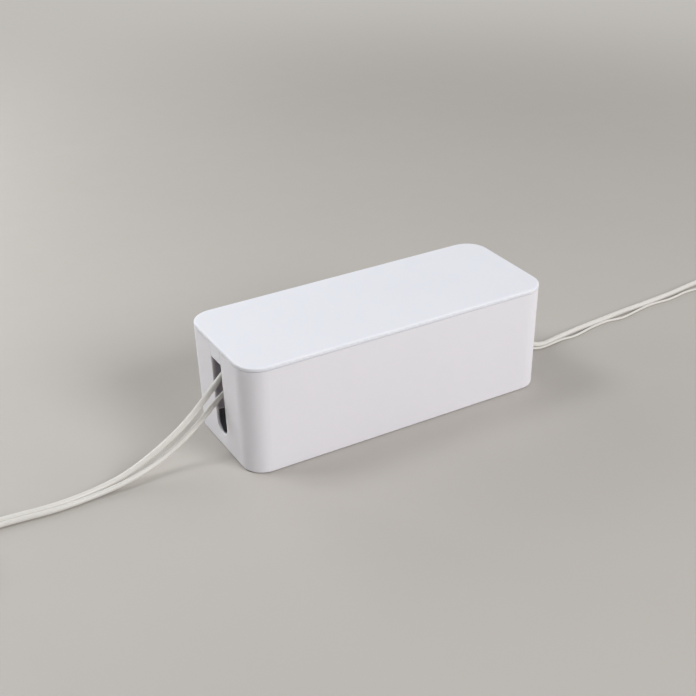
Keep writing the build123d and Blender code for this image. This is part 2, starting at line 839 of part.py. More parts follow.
def straight_plug(seat):
    # a round plug whose cord leaves in line with the pins; seat faces out along the cord
    half_section = Plane(origin=seat.origin, x_dir=seat.x_dir, z_dir=-seat.y_dir)
    with BuildPart(seat) as plug:
        with BuildSketch(half_section):
            with BuildLine():
                Polyline((0, plug_height), (0, 0), (plug_radius, 0), (plug_radius, plug_straight))
                Bezier(
                    (plug_radius, plug_straight),
                    (plug_radius, plug_height - plug_neck_fall),
                    (plug_neck_radius + plug_neck_flare, plug_height - plug_neck_fall),
                    (plug_neck_radius, plug_height),
                )
                Line((plug_neck_radius, plug_height), (0, plug_height))
            make_face()
        revolve(axis=Axis(seat.origin, seat.z_dir))
        with Locations((0, 0, plug_height)):
            Cylinder(
                spigot_radius + cord_clearance, spigot_length, align=top_align, mode=Mode.SUBTRACT
            )
        plug_fittings()
    return plug.part


def appliance_connector(back, width, thickness):
    # a moulded appliance connector; back is a plane on its rear face that looks towards the nose
    with BuildPart(back) as connector:
        with BuildSketch(back):
            RectangleRounded(width, thickness, connector_corner)
        extrude(amount=connector_grip)
        with BuildSketch(back.offset(connector_grip)):
            nose_width = width - 2 * connector_step
            nose_thickness = thickness - 2 * connector_step
            Rectangle(nose_width, nose_thickness)
            # Two corners are cut off, so it fits its inlet only one way up.
            for side in (-1, 1):
                with Locations((side * nose_width / 2, nose_thickness / 2)):
                    Rectangle(
                        connector_chamfer, connector_chamfer, rotation=45, mode=Mode.SUBTRACT
                    )
        extrude(amount=connector_nose)
        with Locations((0, 0, connector_grip + connector_nose)):
            with Locations(
                (-connector_slot_spacing, -connector_slot_stagger),
                (0, connector_slot_stagger),
                (connector_slot_spacing, -connector_slot_stagger),
            ):
                Box(
                    connector_slot_width,
                    connector_slot_height,
                    connector_slot_depth,
                    align=top_align,
                    mode=Mode.SUBTRACT,
                )
        Cylinder(
            spigot_radius + cord_clearance, spigot_length, align=bottom_align, mode=Mode.SUBTRACT
        )
    return connector.part


upper_seat = Plane(origin=(sockets[0], strip_y, plug_face))
write(straight_plug(upper_seat), "upper_plug")
write(plug_contacts(upper_seat), "upper_plug_contacts")
write(
    tapered_sleeve(upper_seat.offset(plug_height), upper_diameter, mains_sleeve_length),
    "upper_plug_sleeve",
)

lower_seat = Plane(origin=(sockets[1], strip_y, plug_face))
outlet_way = (cos(radians(angled_plug_turn)), sin(radians(angled_plug_turn)), 0)
outlet = Plane(
    origin=(sockets[1], strip_y, plug_face + angled_plug_axis),
    x_dir=(0, 0, 1),
    z_dir=outlet_way,
)
with BuildPart(lower_seat) as lower_plug:
    Cylinder(plug_radius, angled_plug_height, align=bottom_align)
    fillet(lower_plug.faces().sort_by(Axis.Z)[-1].edges(), angled_plug_edge)
    with BuildSketch(outlet):
        Circle(angled_boss_radius)
    extrude(amount=angled_boss_reach)
    with BuildSketch(outlet.offset(angled_boss_reach)):
        Circle(spigot_radius + cord_clearance)
    extrude(amount=-spigot_length, mode=Mode.SUBTRACT)
    plug_fittings()
write(lower_plug.part, "lower_plug")
write(plug_contacts(lower_seat), "lower_plug_contacts")
write(
    tapered_sleeve(outlet.offset(angled_boss_reach), lower_diameter, mains_sleeve_length),
    "lower_plug_sleeve",
)

charger_seat = Plane(origin=(sockets[3], strip_y, plug_face))
charger_outlet = Plane(
    origin=(sockets[3] + charger_width / 2, strip_y + charger_outlet_y, plug_face + charger_outlet_z),
    x_dir=(0, 1, 0),
    z_dir=(1, 0, 0),
)
with BuildPart(charger_seat) as charger:
    Cylinder(plug_radius, charger_foot, align=bottom_align)
    with BuildSketch(charger_seat.offset(charger_foot)):
        RectangleRounded(charger_width, charger_depth, charger_edge)
    extrude(amount=charger_height)
    fillet(charger.faces().sort_by(Axis.Z)[-1].edges(), charger_top_edge)
    with Locations([(0, side * pin_offset, 0) for side in (-1, 1)]):
        Cylinder(
            charger_pin_radius + plug_pin_clearance,
            plug_pin_depth,
            align=bottom_align,
            mode=Mode.SUBTRACT,
        )
    with BuildSketch(charger_outlet):
        Circle(thin_spigot_radius + cord_clearance)
    extrude(amount=-thin_spigot_length, mode=Mode.SUBTRACT)
write(charger.part, "charger")
write(plug_contacts(charger_seat, charger_pin_radius, False), "charger_pins")
write(
    tapered_sleeve(
        charger_outlet, thin_diameter, thin_sleeve_length, thin_spigot_radius, thin_spigot_length
    ),
    "charger_sleeve",
)

supply_mouth = Plane(origin=(strip_right, strip_y, supply_z), x_dir=(0, 1, 0), z_dir=(1, 0, 0))
write(
    tapered_sleeve(supply_mouth, supply_diameter, supply_sleeve_length, supply_collar_radius),
    "supply_sleeve",
)


def tail_end(tail, reach):
    # a plane across the cord's level end, reach past its last point and facing on along it
    way = (Vector(tail[-1]) - Vector(tail[-2])).normalized()
    return Plane(
        origin=Vector(tail[-1]) + way * reach,
        x_dir=way.cross(Vector(0, 0, 1)),
        z_dir=way,
    )


def turned(plane):
    # the same plane, facing the other way
    return Plane(origin=plane.origin, x_dir=plane.x_dir, z_dir=-plane.z_dir)


upper_back = tail_end(upper_tail, spigot_length)
write(
    appliance_connector(upper_back, upper_connector_width, upper_connector_thickness),
    "upper_connector",
)
write(
    tapered_sleeve(turned(upper_back), upper_diameter, mains_connector_sleeve),
    "upper_connector_sleeve",
)
lower_back = tail_end(lower_tail, spigot_length)
write(
    appliance_connector(lower_back, lower_connector_width, lower_connector_thickness),
    "lower_connector",
)
write(
    tapered_sleeve(turned(lower_back), lower_diameter, mains_connector_sleeve),
    "lower_connector_sleeve",
)
wall_plug_back = tail_end(supply_tail, spigot_length)
wall_plug_seat = turned(wall_plug_back.offset(plug_height))
write(straight_plug(wall_plug_seat), "wall_plug")
write(plug_contacts(wall_plug_seat), "wall_plug_contacts")
write(
    tapered_sleeve(turned(wall_plug_back), supply_diameter, mains_sleeve_length), "wall_plug_sleeve"
)

barrel_back = tail_end(thin_tail, thin_spigot_length)
with BuildPart(barrel_back) as barrel_plug:
    Cylinder(barrel_radius, barrel_length, align=bottom_align)
    fillet(barrel_plug.edges(), barrel_edge_radius)
    Cylinder(
        thin_spigot_radius + cord_clearance,
        thin_spigot_length,
        align=bottom_align,
        mode=Mode.SUBTRACT,
    )
write(barrel_plug.part, "barrel_plug")
with BuildPart(barrel_back.offset(barrel_length)) as barrel_tip:
    Cylinder(barrel_tip_radius, barrel_tip_length, align=bottom_align)
    Cylinder(barrel_tip_bore, barrel_tip_length, align=bottom_align, mode=Mode.SUBTRACT)
write(barrel_tip.part, "barrel_tip")
write(
    tapered_sleeve(
        turned(barrel_back), thin_diameter, thin_sleeve_length, thin_spigot_radius, thin_spigot_length
    ),
    "barrel_sleeve",
)


# ---- cords, coils and ties -----------------------------------------------------------------------
def coil_ring(at, across, diameter, layers):
    # the outer shape of a neat round coil, which stands on its tie
    ring_bottom = tie_thickness + tie_gap
    with BuildPart() as ring:
        with BuildSketch(Plane.XZ):
            with Locations((across / 2, ring_bottom + layers * diameter / 2)):
                RectangleRounded(turns_abreast * diameter, layers * diameter, diameter * arc_share)
        revolve(axis=Axis.Z)
    return ring.part.moved(Location((at[0], at[1], 0)))


def coil_tie(at, across, diameter, layers, compass):
    # a flat band round the ring's section, wide enough for the ring's curve
    ring_top = tie_thickness + tie_gap + layers * diameter
    inner_radius = (across - turns_abreast * diameter) / 2
    side_gap = tie_gap + tie_width**2 / (8 * inner_radius)
    inner_width = turns_abreast * diameter + 2 * side_gap
    out = (cos(radians(compass)), sin(radians(compass)), 0)
    middle = (at[0] + out[0] * across / 2, at[1] + out[1] * across / 2, 0)
    with BuildPart(Plane(origin=middle, x_dir=out)) as tie:
        Box(
            inner_width + 2 * tie_thickness,
            tie_width,
            ring_top + tie_gap + tie_thickness,
            align=bottom_align,
        )
        with Locations((0, 0, tie_thickness)):
            Box(
                inner_width,
                tie_width,
                ring_top + tie_gap - tie_thickness,
                align=bottom_align,
                mode=Mode.SUBTRACT,
            )
    return tie.part


def write_cord(name, route, tail, diameter, coil_at, across, layers, compass):
    with BuildPart() as lead:
        add(tube(route, diameter / 2, f"{name}_lead"))
        add(tube(tail, diameter / 2, f"{name}_lead end"))
        if name == "supply":
            # The straight stretch in the strip, through its clamp and sleeve.
            with BuildSketch(Plane.YZ.offset(wire_start)):
                with Locations((strip_y, supply_z)):
                    Circle(diameter / 2)
            extrude(amount=route[0][0] - wire_start)
    write(lead.part, f"{name}_lead")
    write(coil_ring(coil_at, across, diameter, layers), f"{name}_coil")
    write(coil_tie(coil_at, across, diameter, layers, compass), f"{name}_tie")


write_cord(
    "upper",
    upper_route,
    upper_tail,
    upper_diameter,
    upper_coil_at,
    upper_coil_across,
    upper_coil_layers,
    upper_tie_compass,
)
write_cord(
    "lower",
    lower_route,
    lower_tail,
    lower_diameter,
    lower_coil_at,
    lower_coil_across,
    lower_coil_layers,
    lower_tie_compass,
)
write_cord(
    "supply",
    supply_route,
    supply_tail,
    supply_diameter,
    supply_coil_at,
    supply_coil_across,
    supply_coil_layers,
    supply_tie_compass,
)
write_cord(
    "thin",
    thin_route,
    thin_tail,
    thin_diameter,
    thin_coil_at,
    thin_coil_across,
    thin_coil_layers,
    thin_tie_compass,
)
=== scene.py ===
# Cable box with a lift-off lid: its finish, cords and light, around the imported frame.
import math

import bmesh
import bpy
from mathutils import Matrix, Vector


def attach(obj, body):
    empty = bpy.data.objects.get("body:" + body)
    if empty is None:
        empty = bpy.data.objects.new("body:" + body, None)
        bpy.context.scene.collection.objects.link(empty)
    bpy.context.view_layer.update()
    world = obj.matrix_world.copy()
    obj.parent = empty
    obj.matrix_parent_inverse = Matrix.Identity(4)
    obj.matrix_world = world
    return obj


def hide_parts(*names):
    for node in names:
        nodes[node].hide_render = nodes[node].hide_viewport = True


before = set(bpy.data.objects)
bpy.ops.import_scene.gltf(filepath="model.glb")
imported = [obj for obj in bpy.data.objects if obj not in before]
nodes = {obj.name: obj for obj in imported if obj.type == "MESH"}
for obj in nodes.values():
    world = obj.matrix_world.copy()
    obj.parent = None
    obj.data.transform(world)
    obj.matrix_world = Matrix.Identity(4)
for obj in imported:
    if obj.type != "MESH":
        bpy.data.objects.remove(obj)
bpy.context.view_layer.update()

print("frame loaded:", len(nodes), "nodes")


cameraSetting = {
    "lens": 63.93,
    "sensor": 36.0,
    "azimuth": -29.16,  # degrees, 0 looks along +Y
    "elevation": 28.99,
    "roll": -1.22,
    "distance": 1.5092,  # metres from the aim point
    "aside": -0.0286,  # the aim point, across and up the picture from the origin
    "above": 0.0622,
    "lift": 0.0015,  # the whole camera, straight up
}


def addCamera(setting):
    azimuth = math.radians(setting["azimuth"])
    elevation = math.radians(setting["elevation"])
    roll = math.radians(setting["roll"])
    back = Vector(
        (
            math.sin(azimuth) * math.cos(elevation),
            -math.cos(azimuth) * math.cos(elevation),
            math.sin(elevation),
        )
    )
    level = Vector((math.cos(azimuth), math.sin(azimuth), 0))
    upright = back.cross(level)
    right = level * math.cos(roll) + upright * math.sin(roll)
    up = upright * math.cos(roll) - level * math.sin(roll)
    place = back * setting["distance"] + right * setting["aside"] + up * setting["above"]
    place.z += setting["lift"]
    camera = bpy.data.objects.new("camera", bpy.data.cameras.new("camera"))
    camera.data.sensor_width = setting["sensor"]
    camera.data.lens = setting["lens"]
    turn = Matrix((right, up, back)).transposed().to_4x4()
    camera.matrix_world = Matrix.Translation(place) @ turn
    bpy.context.scene.collection.objects.link(camera)
    bpy.context.scene.camera = camera


addCamera(cameraSetting)
bpy.context.scene.view_settings.view_transform = "Standard"
print("camera placed")


# Each cord runs from its plug along the route, through its coil's turns and on to its far end.
# start and tieAt are degrees round the coil from +X, and a way of 1 runs counterclockwise.
cordMaking = {
    "stepsPerTurn": 20,
    "ringBottom": 0.0009,  # the coils stand on their ties
    "longestShift": 0.35,  # share of a turn in which a cord changes lane
    "lead": 0.3,  # a turn above or inside changes lane this share earlier
    "order": 3,
    "stepsPerPoint": 8,
    "stepsRound": 6,
}

upperCord = {
    "diameter": 0.007,
    "length": 1.40,
    "exit": (-0.1, 0.014, 0.058),
    "route": [
        (-0.1000, 0.0140, 0.0580),
        (-0.1000, 0.0140, 0.0880),
        (-0.1190, 0.0101, 0.1147),
        (-0.1516, 0.0039, 0.1218),
        (-0.1808, 0.0007, 0.1056),
        (-0.2070, -0.0006, 0.0806),
        (-0.2400, -0.0032, 0.0502),
        (-0.2750, -0.0062, 0.0292),
        (-0.3150, -0.0084, 0.0110),
        (-0.3520, -0.0106, 0.0036),
        (-0.4040, -0.0156, 0.0036),
        (-0.4500, -0.0108, 0.0036),
        (-0.4860, -0.0088, 0.0036),
        (-0.5220, -0.0085, 0.0036),
    ],
    "coil": {"at": (-0.529, 0.037), "across": 0.084, "turns": 3, "start": -90, "way": -1},
    "tieAt": 45,
    "tail": [
        (-0.5310, -0.0085, 0.0114),
        (-0.5640, -0.0085, 0.0112),
        (-0.5848, 0.0034, 0.0104),
        (-0.5970, 0.0242, 0.0096),
        (-0.5973, 0.0485, 0.0096),
    ],
    "farEnd": "connector",
    "stiffness": "medium",
    "pieces": [
        "upper_plug",
        "upper_plug_contacts",
        "upper_plug_sleeve",
        "upper_connector",
        "upper_connector_sleeve",
    ],
}

lowerCord = {
    "diameter": 0.006,
    "length": 1.27,
    "exit": (-0.0734, -0.0044, 0.056),
    "route": [
        (-0.0734, -0.0044, 0.0560),
        (-0.0904, -0.0214, 0.0560),
        (-0.1120, -0.0310, 0.0610),
        (-0.1370, -0.0295, 0.0730),
        (-0.1610, -0.0180, 0.0840),
        (-0.1830, -0.0060, 0.0826),
        (-0.2030, -0.0025, 0.0654),
        (-0.2240, -0.0052, 0.0482),
        (-0.2500, -0.0078, 0.0298),
        (-0.2840, -0.0130, 0.0146),
        (-0.3200, -0.0180, 0.0072),
        (-0.3540, -0.0189, 0.0031),
        (-0.4040, -0.0228, 0.0031),
        (-0.4500, -0.0176, 0.0031),
        (-0.4890, -0.0166, 0.0031),
        (-0.5290, -0.0185, 0.0031),
    ],
    "coil": {"at": (-0.537, -0.0575), "across": 0.072, "turns": 3, "start": 90, "way": 1},
    "tieAt": -45,
    "tail": [
        (-0.5390, -0.0185, 0.0099),
        (-0.5670, -0.0187, 0.0098),
        (-0.5862, -0.0294, 0.0092),
        (-0.5972, -0.0483, 0.0086),
        (-0.5974, -0.0725, 0.0086),
    ],
    "farEnd": "connector",
    "stiffness": "medium",
    "pieces": [
        "lower_plug",
        "lower_plug_contacts",
        "lower_plug_sleeve",
        "lower_connector",
        "lower_connector_sleeve",
    ],
}

supplyCord = {
    "diameter": 0.007,
    "length": 1.50,
    "exit": (0.112, 0.014, 0.016),
    "route": [
        (0.0950, 0.0140, 0.0160),
        (0.1210, 0.0140, 0.0160),
        (0.1540, 0.0140, 0.0160),
        (0.1800, 0.0060, 0.0320),
        (0.2060, 0.0008, 0.0319),
        (0.2290, -0.0022, 0.0156),
        (0.2540, -0.0030, 0.0036),
        (0.2800, 0.0015, 0.0036),
        (0.3070, 0.0054, 0.0036),
        (0.3400, 0.0093, 0.0036),
        (0.3700, 0.0115, 0.0036),
        (0.4060, 0.0151, 0.0036),
        (0.4520, 0.0177, 0.0036),
        (0.5050, 0.0219, 0.0036),
        (0.5520, 0.0294, 0.0036),
        (0.5980, 0.0313, 0.0036),
        (0.6320, 0.0302, 0.0036),
        (0.6570, 0.0285, 0.0036),
    ],
    "coil": {"at": (0.672, -0.014), "across": 0.077, "turns": 3.5, "start": 90, "way": -1},
    "tieAt": 0,
    "tail": [
        (0.6740, -0.0560, 0.0114),
        (0.6550, -0.0562, 0.0122),
        (0.6370, -0.0566, 0.0166),
        (0.6190, -0.0570, 0.0183),
        (0.6010, -0.0570, 0.0183),
    ],
    "farEnd": "plug",
    "stiffness": "medium",
    "pieces": ["supply_sleeve", "wall_plug", "wall_plug_contacts", "wall_plug_sleeve"],
}

thinCord = {
    "diameter": 0.0032,
    "length": 1.53,
    "exit": (0.054, 0.0, 0.056),
    "route": [
        (0.0540, 0.0000, 0.0560),
        (0.0680, 0.0000, 0.0560),
        (0.0840, -0.0086, 0.0530),
        (0.1000, -0.0186, 0.0430),
        (0.1140, -0.0230, 0.0280),
        (0.1310, -0.0220, 0.0115),
        (0.1480, -0.0180, 0.0052),
        (0.1650, -0.0128, 0.0105),
        (0.1760, -0.0094, 0.0220),
        (0.1890, -0.0076, 0.0320),
        (0.2050, -0.0070, 0.0315),
        (0.2180, -0.0068, 0.0210),
        (0.2290, -0.0068, 0.0100),
        (0.2440, -0.0080, 0.0042),
        (0.2580, -0.0076, 0.0030),
        (0.2720, -0.0056, 0.0030),
        (0.2850, -0.0034, 0.0026),
        (0.2970, -0.0020, 0.0017),
        (0.3090, -0.0040, 0.0017),
        (0.3260, -0.0006, 0.0017),
        (0.3430, 0.0036, 0.0017),
        (0.3610, 0.0060, 0.0017),
        (0.3760, 0.0073, 0.0017),
        (0.3880, 0.0052, 0.0017),
        (0.4000, 0.0036, 0.0017),
        (0.4160, 0.0062, 0.0017),
        (0.4360, 0.0106, 0.0017),
        (0.4580, 0.0136, 0.0017),
        (0.4720, 0.0132, 0.0017),
        (0.4880, 0.0118, 0.0017),
        (0.5040, 0.0136, 0.0017),
        (0.5200, 0.0168, 0.0017),
        (0.5370, 0.0172, 0.0017),
        (0.5510, 0.0148, 0.0017),
        (0.5670, 0.0115, 0.0017),
        (0.5800, 0.0110, 0.0017),
        (0.5920, 0.0108, 0.0017),
    ],
    "coil": {"at": (0.596, -0.010), "across": 0.0384, "turns": 7.5, "start": 90, "way": -1},
    "tieAt": 0,
    "tail": [
        (0.5980, -0.0308, 0.0121),
        (0.5890, -0.0309, 0.0112),
        (0.5790, -0.0311, 0.0074),
        (0.5690, -0.0313, 0.0051),
        (0.5600, -0.0313, 0.0051),
    ],
    "farEnd": "connector",
    "stiffness": "limp",
    "pieces": [
        "charger",
        "charger_pins",
        "charger_sleeve",
        "barrel_plug",
        "barrel_tip",
        "barrel_sleeve",
    ],
}


def smooth(share):
    share = min(1.0, max(0.0, share))
    return share * share * (3 - 2 * share)


def laneOf(turn):
    # outside, inside and up, outside and up: two turns side by side in each layer
    outward = 1 if turn % 4 in (0, 3) else -1
    return Vector((outward / 2, turn // 2 + 0.5))


def coilPoints(coil, diameter):
    steps = cordMaking["stepsPerTurn"]
    shifts = int(coil["turns"])
    room = 1 - coil["turns"] % 1
    lead = cordMaking["lead"]
    shiftLength = min(cordMaking["longestShift"], room / (1 + lead * (shifts - 1)))
    stretch = 1 / math.cos(math.pi / steps)  # the spline runs inside its control points
    points = []
    for i in range(1, round(coil["turns"] * steps)):
        turn, part = divmod(i / steps, 1)
        begin = 1 - shiftLength * (1 + lead * turn)
        share = smooth((part - begin) / shiftLength)
        lane = laneOf(int(turn)).lerp(laneOf(int(turn) + 1), share)
        radius = (coil["across"] / 2 + lane.x * diameter) * stretch
        angle = math.radians(coil["start"]) + coil["way"] * math.tau * i / steps
        points.append(
            (
                coil["at"][0] + radius * math.cos(angle),
                coil["at"][1] + radius * math.sin(angle),
                cordMaking["ringBottom"] + lane.y * diameter,
            )
        )
    return points


def addCord(name, cord, leadNode, coilNode):
    points = cord["route"] + coilPoints(cord["coil"], cord["diameter"]) + cord["tail"]
    curve = bpy.data.curves.new(name, "CURVE")
    curve.dimensions = "3D"
    spline = curve.splines.new("NURBS")
    spline.points.add(len(points) - 1)
    for place, point in zip(spline.points, points):
        place.co = (*point, 1)
        place.radius = cord["diameter"] / 2  # scales the bevel, and keeps the curve's box true
    spline.order_u = cordMaking["order"]
    spline.use_endpoint_u = True
    curve.resolution_u = cordMaking["stepsPerPoint"]
    curve.bevel_depth = 1.0
    curve.bevel_resolution = cordMaking["stepsRound"]
    curve.use_fill_caps = True
    piece = bpy.data.objects.new(name, curve)
    bpy.context.scene.collection.objects.link(piece)
    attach(piece, "box")
    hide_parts(leadNode, coilNode)
    return piece


upperPiece = addCord("upperCord", upperCord, "upper_lead", "upper_coil")
lowerPiece = addCord("lowerCord", lowerCord, "lower_lead", "lower_coil")
supplyPiece = addCord("supplyCord", supplyCord, "supply_lead", "supply_coil")
thinPiece = addCord("thinCord", thinCord, "thin_lead", "thin_coil")
print("cords laid")


tieMaking = {
    "thickness": 0.0008,
    "width": 0.010,
    "gap": 0.0003,  # over and beside the turns
    "under": 0.00005,  # the gap below the turns
    "corner": 0.42,  # inner radius, share of the cord's diameter
    "cornerSteps": 5,
    "flapLift": 1.15,  # the loose end lies this many thicknesses up
    "flapStart": 0.0015,  # out from the band's middle
    "flapEnd": 0.55,  # share of half the band's width
    "stations": 7,  # points across the cloth
    "edge": 0.3,  # rounding, share of the thickness
    "edgeSteps": 2,
}


def tieLoop(halfWidth, low, high, corner):
    # a rounded rectangle, from the middle of its top
    steps = tieMaking["cornerSteps"]
    centres = (
        (halfWidth - corner, high - corner, 90),
        (halfWidth - corner, low + corner, 0),
        (corner - halfWidth, low + corner, -90),
        (corner - halfWidth, high - corner, -180),
    )
    loop = [(0.0, high)]
    for x, z, start in centres:
        for i in range(steps + 1):
            angle = math.radians(start - 90 * i / steps)
            loop.append((x + corner * math.cos(angle), z + corner * math.sin(angle)))
    loop.append((0.0, high))
    return loop


def addTie(name, cord, node):
    diameter, coil = cord["diameter"], cord["coil"]
    thickness = tieMaking["thickness"]
    layers = math.ceil(coil["turns"] / 2)
    low = cordMaking["ringBottom"] - thickness / 2 - tieMaking["under"]
    high = cordMaking["ringBottom"] + layers * diameter + tieMaking["gap"] + thickness / 2
    inner = coil["across"] / 2 - diameter
    sag = tieMaking["width"] ** 2 / (8 * inner)  # how far the ring bends away over the width
    halfWidth = diameter + sag + tieMaking["gap"] + thickness / 2
    loop = tieLoop(halfWidth, low, high, diameter * tieMaking["corner"])
    flap = high + thickness * tieMaking["flapLift"]
    loop += [(tieMaking["flapStart"], flap), (halfWidth * tieMaking["flapEnd"], flap)]
    compass = math.radians(cord["tieAt"])
    out = Vector((math.cos(compass), math.sin(compass), 0))
    along = Vector((-out.y, out.x, 0))
    middle = Vector((*coil["at"], 0)) + out * coil["across"] / 2
    mesh = bmesh.new()
    rows = []
    for x, z in loop:
        row = []
        for k in range(tieMaking["stations"]):
            side = k / (tieMaking["stations"] - 1) - 0.5
            place = middle + out * x + along * side * tieMaking["width"] + Vector((0, 0, z))
            row.append(mesh.verts.new(place))
        rows.append(row)
    for a, b in zip(rows, rows[1:]):
        for k in range(tieMaking["stations"] - 1):
            mesh.faces.new((a[k], a[k + 1], b[k + 1], b[k]))
    data = bpy.data.meshes.new(name)
    mesh.to_mesh(data)
    mesh.free()
    for face in data.polygons:
        face.use_smooth = True
    piece = bpy.data.objects.new(name, data)
    bpy.context.scene.collection.objects.link(piece)
    band = piece.modifiers.new("band", "SOLIDIFY")
    band.thickness = thickness
    band.offset = 0
    edge = piece.modifiers.new("edge", "BEVEL")
    edge.width = thickness * tieMaking["edge"]
    edge.segments = tieMaking["edgeSteps"]
    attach(piece, "box")
    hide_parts(node)
    return piece


upperTie = addTie("upperTie", upperCord, "upper_tie")
lowerTie = addTie("lowerTie", lowerCord, "lower_tie")
supplyTie = addTie("supplyTie", supplyCord, "supply_tie")
thinTie = addTie("thinTie", thinCord, "thin_tie")

print("ties made")


def newGroup(name, inputs, outputs):
    group = bpy.data.node_groups.new(name, "ShaderNodeTree")
    for label, kind, value in inputs:
        socket = group.interface.new_socket(name=label, in_out="INPUT", socket_type=kind)
        if value is not None:
            socket.default_value = value
    for label, kind in outputs:
        group.interface.new_socket(name=label, in_out="OUTPUT", socket_type=kind)
    return group, group.nodes.new("NodeGroupInput"), group.nodes.new("NodeGroupOutput")


def addNoise(tree, vector, scale, detail, roughness):
    noise = tree.nodes.new("ShaderNodeTexNoise")
    noise.inputs["Detail"].default_value = detail
    noise.inputs["Roughness"].default_value = roughness
    tree.links.new(vector, noise.inputs["Vector"])
    if isinstance(scale, (int, float)):
        noise.inputs["Scale"].default_value = scale
    else:
        tree.links.new(scale, noise.inputs["Scale"])
    return noise.outputs["Fac"]


def addRange(tree, value, low, high, toLow=0.0, toHigh=1.0):
    node = tree.nodes.new("ShaderNodeMapRange")
    tree.links.new(value, node.inputs["Value"])
    for label, amount in (("From Min", low), ("From Max", high), ("To Min", toLow), ("To Max", toHigh)):
        if isinstance(amount, (int, float)):
            node.inputs[label].default_value = amount
        else:
            tree.links.new(amount, node.inputs[label])
    return node.outputs["Result"]


def addMath(tree, operation, first, second):
    node = tree.nodes.new("ShaderNodeMath")
    node.operation = operation
    for socket, value in zip(node.inputs, (first, second)):
        if isinstance(value, (int, float)):
            socket.default_value = value
        else:
            tree.links.new(value, socket)
    return node.outputs["Value"]


def addMix(tree, factor, first, second):
    node = tree.nodes.new("ShaderNodeMix")
    node.data_type = "RGBA"
    for label, kind, value in (("Factor", "VALUE", factor), ("A", "RGBA", first), ("B", "RGBA", second)):
        socket = next(s for s in node.inputs if s.name == label and s.type == kind)
        tree.links.new(value, socket)
    return next(s for s in node.outputs if s.type == "RGBA")


grainMaking = {
    "fineDetail": 3.0,
    "fineRoughness": 0.6,
    "broadScale": 22.0,
    "broadDetail": 4.0,
    "broadRoughness": 0.55,
    "fineShare": 0.35,  # of the gloss; the rest is broad
    "lowest": 0.35,  # the noise between these two is spread over the whole range
    "highest": 0.65,
}


def makeMouldedGrain():
    # the fine spark-eroded texture of moulded plastic, and how it varies in gloss
    group, given, made = newGroup(
        "mouldedGrain",
        [
            ("Vector", "NodeSocketVector", None),
            ("Grain", "NodeSocketFloat", 2400.0),
            ("Smoothest", "NodeSocketFloat", 0.36),
            ("Roughest", "NodeSocketFloat", 0.46),
        ],
        [("Height", "NodeSocketFloat"), ("Roughness", "NodeSocketFloat")],
    )
    make = grainMaking
    vector = given.outputs["Vector"]
    fine = addNoise(group, vector, given.outputs["Grain"], make["fineDetail"], make["fineRoughness"])
    broad = addNoise(group, vector, make["broadScale"], make["broadDetail"], make["broadRoughness"])
    finePart = addMath(group, "MULTIPLY", fine, make["fineShare"])
    broadPart = addMath(group, "MULTIPLY", broad, 1 - make["fineShare"])
    mixed = addMath(group, "ADD", finePart, broadPart)
    ends = given.outputs["Smoothest"], given.outputs["Roughest"]
    rough = addRange(group, mixed, make["lowest"], make["highest"], *ends)
    group.links.new(fine, made.inputs["Height"])
    group.links.new(rough, made.inputs["Roughness"])
    return group


driftMaking = {"detail": 3.0, "roughness": 0.55, "lowest": 0.3, "highest": 0.7}


def makeToneDrift():
    # a very slow drift between two near tones
    group, given, made = newGroup(
        "toneDrift",
        [
            ("Vector", "NodeSocketVector", None),
            ("Tone", "NodeSocketColor", None),
            ("Other Tone", "NodeSocketColor", None),
            ("Scale", "NodeSocketFloat", 9.0),
        ],
        [("Color", "NodeSocketColor")],
    )
    make = driftMaking
    scale = given.outputs["Scale"]
    drift = addNoise(group, given.outputs["Vector"], scale, make["detail"], make["roughness"])
    factor = addRange(group, drift, make["lowest"], make["highest"])
    mixed = addMix(group, factor, given.outputs["Tone"], given.outputs["Other Tone"])
    group.links.new(mixed, made.inputs["Color"])
    return group


rubMaking = {"detail": 4.0, "roughness": 0.6, "lowest": 0.3, "highest": 0.7}


def makeRubMarks():
    # faint rubbed streaks in metal
    group, given, made = newGroup(
        "rubMarks",
        [
            ("Vector", "NodeSocketVector", None),
            ("Stretch", "NodeSocketVector", (1.0, 1.0, 1.0)),
            ("Scale", "NodeSocketFloat", 400.0),
            ("Smoothest", "NodeSocketFloat", 0.2),
            ("Roughest", "NodeSocketFloat", 0.35),
        ],
        [("Height", "NodeSocketFloat"), ("Roughness", "NodeSocketFloat")],
    )
    spread = group.nodes.new("ShaderNodeVectorMath")
    spread.operation = "MULTIPLY"
    group.links.new(given.outputs["Vector"], spread.inputs[0])
    group.links.new(given.outputs["Stretch"], spread.inputs[1])
    make = rubMaking
    scale = given.outputs["Scale"]
    streaks = addNoise(group, spread.outputs["Vector"], scale, make["detail"], make["roughness"])
    ends = given.outputs["Smoothest"], given.outputs["Roughest"]
    rough = addRange(group, streaks, make["lowest"], make["highest"], *ends)
    group.links.new(streaks, made.inputs["Height"])
    group.links.new(rough, made.inputs["Roughness"])
    return group


mouldedGrain = makeMouldedGrain()
toneDrift = makeToneDrift()
rubMarks = makeRubMarks()


def newMaterial(name):
    material = bpy.data.materials.new(name)
    material.use_nodes = True
    tree = material.node_tree
    shader = tree.nodes["Principled BSDF"]
    coordinates = tree.nodes.new("ShaderNodeTexCoord")
    return material, tree, shader, coordinates.outputs["Object"]


def placeGroup(tree, group, vector, values):
    node = tree.nodes.new("ShaderNodeGroup")
    node.node_tree = group
    tree.links.new(vector, node.inputs["Vector"])
    for label, value in values.items():
        node.inputs[label].default_value = (*value, 1) if label.endswith("Tone") else value
    return node


def addBump(tree, shader, height, strength, distance):
    bump = tree.nodes.new("ShaderNodeBump")
    bump.inputs["Strength"].default_value = strength
    bump.inputs["Distance"].default_value = distance
    tree.links.new(height, bump.inputs["Height"])
    tree.links.new(bump.outputs["Normal"], shader.inputs["Normal"])


